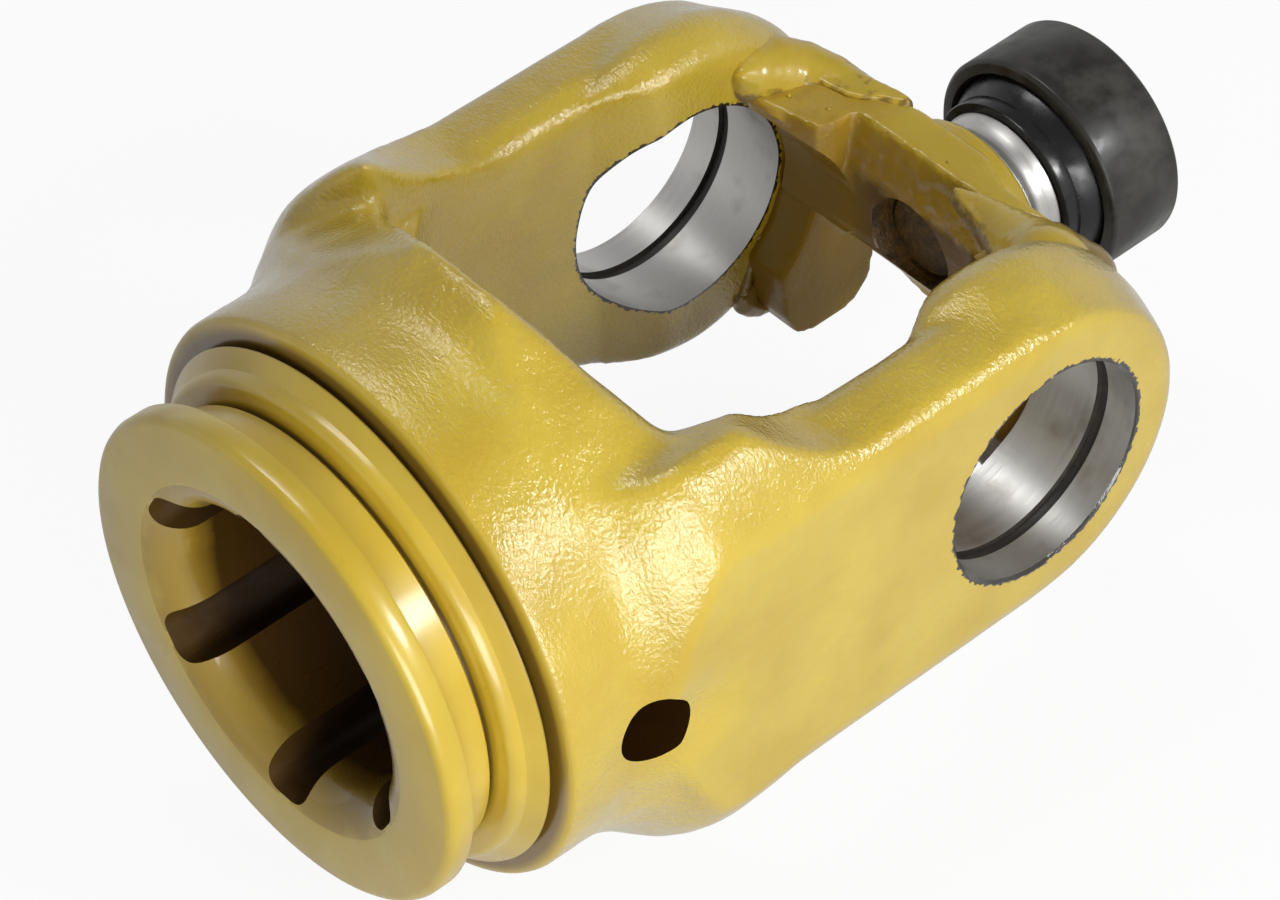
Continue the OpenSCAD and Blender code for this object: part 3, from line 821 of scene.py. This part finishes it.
cut(forging, rim, "UNION")
cut(forging, front, "UNION")
print(count(forging))

# %% [markdown]
# Now the machining. The hub is bored for a six-lobed tube: a round bore with a rounded mouth, then six broached
# grooves whose corners are round. One groove's outline is drawn and used six times, turned about the hub's axis.

# %% Tube bore and its lobes
BORE_R = 20
MOUTH_R = 5.8
bore = turned(
    "tube_bore",
    [(-93, 0), (-93, 26.2)]
    + [
        (HUB_X + MOUTH_R * (1 - math.cos(a)), BORE_R + MOUTH_R - MOUTH_R * math.sin(a)) for a in quarter_turn(11)
    ]
    + [(-40, BORE_R), (-40, 0)],
    steps=ROUND_STEPS,
)
cut(forging, bore)
LOBES = 6
LOBE_R = 24.5
LOBE_HALF = 3.8
LOBE_ROUND = 2.6
inset = LOBE_HALF - LOBE_ROUND
corner = [(inset + LOBE_ROUND * math.cos(a), LOBE_R - LOBE_ROUND + LOBE_ROUND * math.sin(a)) for a in quarter_turn(6)]
section = [(-LOBE_HALF, 12), (LOBE_HALF, 12)] + corner + [(-y, z) for y, z in reversed(corner)]
for i in range(LOBES):
    lobe = prism("lobe", section, -95, -40, "YZ")
    lobe.rotation_euler = (math.radians(-360 / LOBES * i), 0, 0)
    apply_place(lobe)
    cut(forging, lobe)
print(LOBES, "lobes to radius", LOBE_R)

# %% [markdown]
# The cross bores and the pin hole go through both sides. Each cross bore has a groove for a spring ring and a small
# chamfer outside, and its whole profile is cut by one spun tool.

# %% Cross bores and pin hole
CROSS_R = 16.0
RING_R = 16.8
PIN_X = -64.5
PIN_R = 5
for s in (-1, 1):
    cross_bore = turned(
        "cross_bore",
        [
            (s * 20, 0), (s * 20, CROSS_R), (s * 34.9, CROSS_R), (s * 35.0, RING_R), (s * 36.7, RING_R),
            (s * 36.8, CROSS_R), (s * 41.6, CROSS_R), (s * 42, 16.4), (s * 43, 17.4), (s * 43, 0),
        ],
        "Y",
        steps=ROUND_STEPS,
    )
    cut(forging, cross_bore)
    pin = turned("pin", [(s * 15, 0), (s * 15, PIN_R), (s * 50, PIN_R), (s * 50, 0)], "Y", (PIN_X, 0, 0), 64)
    cut(forging, pin)
print(count(forging))

# %% [markdown]
# The cut faces get their finish by their place: bare steel in the cross bores, thinning overspray and painted shade
# in the tube bore and the pin hole, smooth paint on all that the lathe made. Where a test by place alone would also
# catch the gap's floor or an arm's inner face, the way that the face looks decides. Edges sharper than 35 degrees
# stay crisp.

# %% Finishes of the yoke
FORGED_EDGE = math.radians(35)
FORGED, TURNED, BARE, OVERSPRAY_SHADED, RING_GROOVE, LOBE = range(6)
forging.data.materials.clear()
for finish in (forged_paint, turned_paint, bore_steel, bore_overspray_and_shade, ring_groove_shade, lobe_shade):
    forging.data.materials.append(finish)
for face in forging.data.polygons:
    x, y, z = face.center / MM
    n = face.normal
    from_hub, from_cross = math.hypot(y, z), math.hypot(x, z)
    index = FORGED
    if x < -76.5:
        index = TURNED
    gap_floor = x > -60 and n.x > 0.3
    if -91.7 < x < -40 and from_hub < 24.7 and not gap_floor:
        index = LOBE if abs(n.x) < 0.02 and from_hub > 20.2 else OVERSPRAY_SHADED
    # Walls of the ring grooves face along the bore, and so do the arms' inner faces, which are not bare
    along_bore = 0.99 if abs(y) > 30 else 0.6
    if x > -30 and abs(y) < 41.7 and from_cross < 16.9 and abs(n.y) < along_bore:
        index = BARE
    if 34.85 < abs(y) < 36.85 and 16.1 < from_cross < 16.9:
        index = RING_GROOVE
    # The pin hole's wall gets the bore's finish at its darkest step, painted shade inside the hole
    if math.hypot(x - PIN_X, z) < PIN_R + 0.1 and abs(y) < 39.3:
        index = OVERSPRAY_SHADED
    face.material_index = index
activate(forging)
bpy.ops.object.shade_smooth_by_angle(angle=FORGED_EDGE)
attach(forging, "forging")
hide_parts("yoke")
print(forging.name, "has", len(forging.data.materials), "finishes")

# %% [markdown]
# The bridge is a second forging between the tips. It is blocked out from a bar, two feet and the stud's round boss,
# and melted together like the yoke, with finer voxels because its radii are smaller. A slanted cut along the inner
# top edge stands for the place where the flash was sheared off.

# %% Bridge blank
BRIDGE_TOP = 15.6
BRIDGE_VOXEL = 0.5
bar = prism(
    "bar",
    [
        (16.1, -11), (16.1, 11), (11.8, 13), (9.6, 24), (21.4, 24), (21.6, 12), (24.3, 6), (24.3, -6), (21.4, -12),
        (21.4, -24), (11.5, -24),
    ],
    -14.6, BRIDGE_TOP, "XY",
)
lean = prism(
    "lean",
    [
        (8, -2), (8, BRIDGE_TOP), (23.8, BRIDGE_TOP), (24.4, 14.9), (24.4, -14.6), (23.2, -14.6), (16, -4.6),
        (13, -4.6), (13, -2),
    ],
    -30, 30, "XZ",
)
sheared = prism("sheared", [(6, 6.6), (16, 6.6), (17.9, 16.6), (6, 16.6)], -17.5, 11.6, "XZ")
cut(bar, lean, "INTERSECT")
cut(bar, sheared)
pieces = [bar]
for s in (-1, 1):
    low, high = sorted((s * 18, s * 25.4))
    foot = prism(
        "foot",
        [
            (9.4, 14.6), (21, 14.6), (23.7, 12), (26, 6.5), (27.2, 0), (27.2, -20), (26.4, -23.6), (24, -26.4),
            (22, -27.1), (15.6, -27.2), (12.9, -26.2), (11, -22.4), (10.2, -14.6), (14, -10.4), (16.4, -5),
            (17.5, 0), (16.4, 5), (14, 10.4),
        ],
        low, high, "XZ",
    )
    pieces.append(foot)
boss = turned("boss", [(21, 0), (21, 13.3), (27.4, 13.3), (28, 12.8), (28, 0)], steps=72)
pieces.append(boss)
bridge = join(pieces, "bridge_forging")
apply_modifier(bridge, "REMESH", mode="VOXEL", voxel_size=BRIDGE_VOXEL * MM)
apply_modifier(bridge, "SMOOTH", factor=0.5, iterations=6)
print(count(bridge))

# %% [markdown]
# The sheared strip is torn metal, so its points are moved in and out by a fine noise, with a weight that fades out at
# its borders. Then the cross gets its room, and the stud's tail its hole. The open end of that hole, towards the
# cross, is the weld pocket, with a rounded mouth.

# %% Sheared strip, room for the cross and weld pocket
torn = bridge.vertex_groups.new(name="torn")
for v in bridge.data.vertices:
    x, y, z = v.co / MM
    torn.add([v.index], held((19 - x) / 1.5) * held((z - 5.6) / 2) * held((14.5 - abs(y + 2.5)) / 2), "REPLACE")
tears = bpy.data.textures.new("shear_tears", "CLOUDS")
tears.noise_scale = 0.0021
tears.noise_depth = 2
apply_modifier(
    bridge, "DISPLACE", texture=tears, texture_coords="LOCAL", strength=0.7 * MM, mid_level=0.55,
    vertex_group="torn",
)
bridge.vertex_groups.clear()
tail_hole = turned(
    "tail_hole",
    [
        (10, 0), (10, 8.2), (15.6, 7.8), (16.4, 7.2), (17.2, 6.9), (18.98, 6.9), (18.98, 6.52), (30, 6.52),
        (30, 0),
    ],
    steps=72,
)
cut(bridge, turned("cross_room", [(-30, 0), (-30, 16.4), (30, 16.4), (30, 0)], "Y"))
cut(bridge, tail_hole)

# %% [markdown]
# Only two finishes are needed here. The pocket's wall and floor are told from the rest by their distance from the
# stud's axis, and by the way that the wall looks.

# %% Finishes of the bridge's faces
PAINTED, SCALE = range(2)
bridge.data.materials.clear()
for finish in (bridge_paint, pocket_scale):
    bridge.data.materials.append(finish)
for face in bridge.data.polygons:
    x, y, z = face.center / MM
    from_stud = math.hypot(y, z)
    pocket_wall = from_stud < 7.3 and abs(face.normal.x) < 0.9 and x > 12
    pocket_floor = 18.9 < x < 19.1 and from_stud < 7
    face.material_index = SCALE if pocket_wall or pocket_floor else PAINTED
activate(bridge)
bpy.ops.object.shade_smooth_by_angle(angle=FORGED_EDGE)
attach(bridge, "forging")
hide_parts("bridge")
print(count(bridge))

# %% [markdown]
# The stud and the bearing are turned parts. Each profile carries its own small chamfers and radii, so the spun mesh
# needs no bevel. The stud has a tail in the bridge, a flared neck, a shoulder, the journal with the retaining ring's
# groove, and a chamfered end. Its tail's end is the floor of the weld pocket, so it is scaly too.

# %% Stud
TURNED_EDGE = math.radians(28)
BEARING_STEPS = 128
stud = turned(
    "stud_pin",
    [
        (19.3, 0), (19.3, 5.9), (19.9, 6.5), (28, 6.5), (28, 11.3), (28.2, 11.5), (28.8, 11.5), (29.3, 10.9),
        (29.9, 10.5), (30.6, 10.3), (31.2, 10.35), (32, 10.6), (33.1, 11.0), (33.35, 11.0), (33.5, 10.8),
        (33.5, 8.5), (52.25, 8.5), (52.25, 7.7), (53.55, 7.7), (53.55, 8.5), (54.5, 8.5), (55.15, 8.2),
        (55.4, 7.6), (55.4, 0),
    ],
    steps=BEARING_STEPS,
)
stud.data.materials.append(stud_steel)
stud.data.materials.append(pocket_scale)
for face in stud.data.polygons:
    face.material_index = 1 if face.center.x < 19.7 * MM else 0
activate(stud)
bpy.ops.object.shade_smooth_by_angle(angle=TURNED_EDGE)
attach(stud, "forging")
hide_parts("stud")
print(count(stud))

# %% [markdown]
# The bearing's inner ring is a ball with a collar towards the yoke. The outer ring's seat has the same centre and a
# radius larger by the play, so it can tilt on the ball. Both profiles close on themselves around the bore.

# %% Ball ring
BALL_X = 44.2
BALL_R = 14.9
arc = []
for i in range(33):
    a = math.radians(124.36 - 66.83 * i / 32)
    arc.append((BALL_X + BALL_R * math.cos(a), BALL_R * math.sin(a)))
print("ball arc from", [round(v, 2) for v in arc[0]], "to", [round(v, 2) for v in arc[-1]])
ball = turned(
    "ball_ring",
    [(34.2, 8.53), (33.6, 9.1), (33.6, 11.95), (33.7, 12.2), (33.95, 12.3), (35.5, 12.3)]
    + arc
    + [(52.2, 9.1), (51.6, 8.53), (34.2, 8.53)],
    steps=BEARING_STEPS,
)
ball.data.materials.append(ball_black)
activate(ball)
bpy.ops.object.shade_smooth_by_angle(angle=TURNED_EDGE)
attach(ball, "ball")
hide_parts("inner_ring")

# %% Outer ring
SEAT_R = 14.95
seat = []
for i in range(25):
    along = 5.25 - 10.5 * i / 24
    seat.append((BALL_X + along, math.sqrt(SEAT_R ** 2 - along * along)))
race = turned(
    "outer_race",
    [
        (37.95, 14.48), (37.95, 15.75), (38.05, 15.95), (38.4, 16.3), (38.65, 16.4), (49.75, 16.4),
        (50.0, 16.3), (50.35, 15.95), (50.45, 15.75), (50.45, 14.48),
    ]
    + seat
    + [(37.95, 14.48)],
    steps=BEARING_STEPS,
)
race.data.materials.append(ring_black)
activate(race)
bpy.ops.object.shade_smooth_by_angle(angle=TURNED_EDGE)
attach(race, "race")
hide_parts("outer_ring")
print(count(ball), "and", count(race))

# %% [markdown]
# The retaining ring can't be seen in the photograph, but something has to hold the bearing on its journal. It is a
# square section spun most of the way round, which leaves the opening that lets it spring into its groove, and its
# edges are bevelled.

# %% Retaining ring
ring = draw_line("spring_ring", [(52.3, 0, 7.75), (52.3, 0, 10.5), (53.5, 0, 10.5), (53.5, 0, 7.75)])
bpy.ops.mesh.select_all(action="SELECT")
bpy.ops.mesh.edge_face_add()
OPEN = math.radians(28)
bpy.ops.transform.rotate(value=math.pi - OPEN / 2, orient_axis="X", center_override=(0, 0, 0))
bpy.ops.mesh.spin(steps=80, angle=math.tau - OPEN, use_auto_merge=False, center=(0, 0, 0), axis=(1, 0, 0))
bpy.ops.mesh.select_all(action="SELECT")
bpy.ops.mesh.remove_doubles(threshold=0.002 * MM)
bpy.ops.mesh.normals_make_consistent(inside=False)
bpy.ops.object.mode_set(mode="OBJECT")
ring.data.materials.append(stud_steel)
apply_modifier(ring, "BEVEL", width=0.12 * MM, segments=2, limit_method="ANGLE", angle_limit=math.radians(40))
activate(ring)
bpy.ops.object.shade_smooth_by_angle(angle=TURNED_EDGE)
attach(ring, "forging")
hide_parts("retaining_ring")
print(count(ring))

# %% [markdown]
# The welds are runs of molten drops, so they are built as rows of overlapping balls that shrink towards the end of
# the run. On top of the bridge the metal ran out into a flat lip around the bead, which is an outline with a small
# height. A remesh makes one bead of it all, and a little smoothing leaves the ripples.

# %% Places of the weld drops
# Place and radius of each drop
FAR_TOP = [
    (9.6, 24.6, 18.4, 1.6), (12.2, 25.5, 16.6, 4.0), (15.6, 25.5, 14.4, 5.4), (18.8, 23.5, 13.4, 4.8),
    (20.6, 20, 13, 4.2), (21.4, 16.6, 13, 3.5), (22, 13.4, 13.4, 2.8), (22.8, 10.6, 14, 2.2), (23.4, 8.6, 14.8, 1.4),
]
# Outline of the lip, seen from above
FAR_LIP = [
    (12, 25), (12.6, 23.9), (14.6, 22.4), (16.6, 20.6), (17.8, 18.4), (18.2, 16.4), (18.5, 14.4), (19.6, 12.4),
    (21.4, 10.8), (22.4, 9.2), (23.4, 7.6), (24.1, 8), (24.2, 10), (23.6, 13), (22.6, 17), (22.4, 25),
]
NEAR_TOP = [
    (16.1, -9.7, 14.8, 1.5), (16.4, -12.4, 14.4, 2.4), (16.4, -15.6, 14.2, 3.2), (16, -19, 14, 4.2),
    (15.6, -23, 13.6, 5.6), (14.4, -26.5, 14.4, 6.4), (19.4, -22.5, 11.6, 4.4), (20.6, -26.5, 9.4, 5.2),
]
NEAR_LIP = [
    (15.4, -8.6), (16.2, -8.2), (16.8, -9.4), (16.7, -11.8), (18.3, -14.7), (19.6, -18.7), (20.3, -23.3),
    (20.4, -26), (11, -26), (12.2, -20), (13.6, -15), (14.6, -11.4),
]
# Around the lower end of a foot, and up its inner edge, drawn for the far side
FOOT_RUN = [
    (8.6, 25.2, -21.4, 1.3), (10.6, 25.4, -21.2, 1.4), (9.4, 25.0, -22.8, 1.7), (10.4, 25, -24, 1.6),
    (11.8, 25, -25.2, 1.4), (13.4, 25.1, -26.1, 1.1), (15, 25.2, -26.6, 0.8),
]
FOOT_RISE = [(12.4, 25.2, -12.6, 0.7), (11.2, 25.2, -15.4, 0.8), (10.2, 25.2, -18.2, 0.9), (9.2, 25.2, -20.4, 1.1)]
print("drops:", len(FAR_TOP) + len(NEAR_TOP) + 2 * len(FOOT_RUN) + 2 * len(FOOT_RISE))

# %% Weld beads
LIP_DEPTH = 1.4
LIP_HEIGHT = 0.75


def weld_bead(name, drops, lip=None, voxel=0.3, rounds=5, rough=0.4):
    """Drops, with one more between each two, become a bead of ripples; rough is in millimetres."""
    balls = []
    for x, y, z, r in drops:
        bpy.ops.mesh.primitive_ico_sphere_add(subdivisions=3, radius=r * MM, location=mm(x, y, z))
        balls.append(bpy.context.object)
    for (ax, ay, az, ar), (bx, by, bz, br) in zip(drops, drops[1:]):
        a, b = mm(ax, ay, az), mm(bx, by, bz)
        middle = (a + b) / 2
        bpy.ops.mesh.primitive_ico_sphere_add(subdivisions=3, radius=0.99 * (ar + br) / 2 * MM, location=middle)
        balls.append(bpy.context.object)
    if lip:
        balls.append(prism(name + "_lip", lip, BRIDGE_TOP - LIP_DEPTH, BRIDGE_TOP + LIP_HEIGHT, "XY"))
    bead = join(balls, name)
    apply_place(bead)
    apply_modifier(bead, "REMESH", mode="VOXEL", voxel_size=voxel * MM)
    apply_modifier(bead, "SMOOTH", factor=0.5, iterations=rounds)
    apply_modifier(
        bead, "DISPLACE", texture=cloud, texture_coords="LOCAL", strength=rough * MM, mid_level=0.5
    )
    bead.data.materials.append(weld_paint)
    activate(bead)
    bpy.ops.object.shade_smooth()
    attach(bead, "forging")
    print(count(bead))


weld_bead("weld_far_top", FAR_TOP, FAR_LIP, rounds=14, rough=0.25)
weld_bead("weld_near_top", NEAR_TOP, NEAR_LIP, rounds=10, rough=0.3)
for side_name, t in (("far", 1), ("near", -1)):
    weld_bead("weld_" + side_name + "_foot", [(x, t * y, z, r) for x, y, z, r in FOOT_RUN])
    weld_bead("weld_" + side_name + "_rise", [(x, t * y, z, r) for x, y, z, r in FOOT_RISE], voxel=0.25)

# %% [markdown]
# Spatter is a few frozen sparks around each bead. One drop is flattened onto the skin for each place in the list.

# %% Spatter
SPATTER = [
    (10.8, 23.1, 16.4, 0.42), (13.2, 19.6, 15.8, 0.3), (15.2, 14.2, 15.7, 0.25), (17.6, 5.4, 15.7, 0.22),
    (19.2, -4, 15.7, 0.2),
]
drops = []
for x, y, z, r in SPATTER:
    bpy.ops.mesh.primitive_ico_sphere_add(subdivisions=2, radius=r * MM, location=mm(x, y, z), scale=(1, 1, 0.8))
    drops.append(bpy.context.object)
spatter = join(drops, "weld_spatter")
apply_place(spatter)
spatter.data.materials.append(weld_paint)
activate(spatter)
bpy.ops.object.shade_smooth()
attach(spatter, "forging")
print(count(spatter))
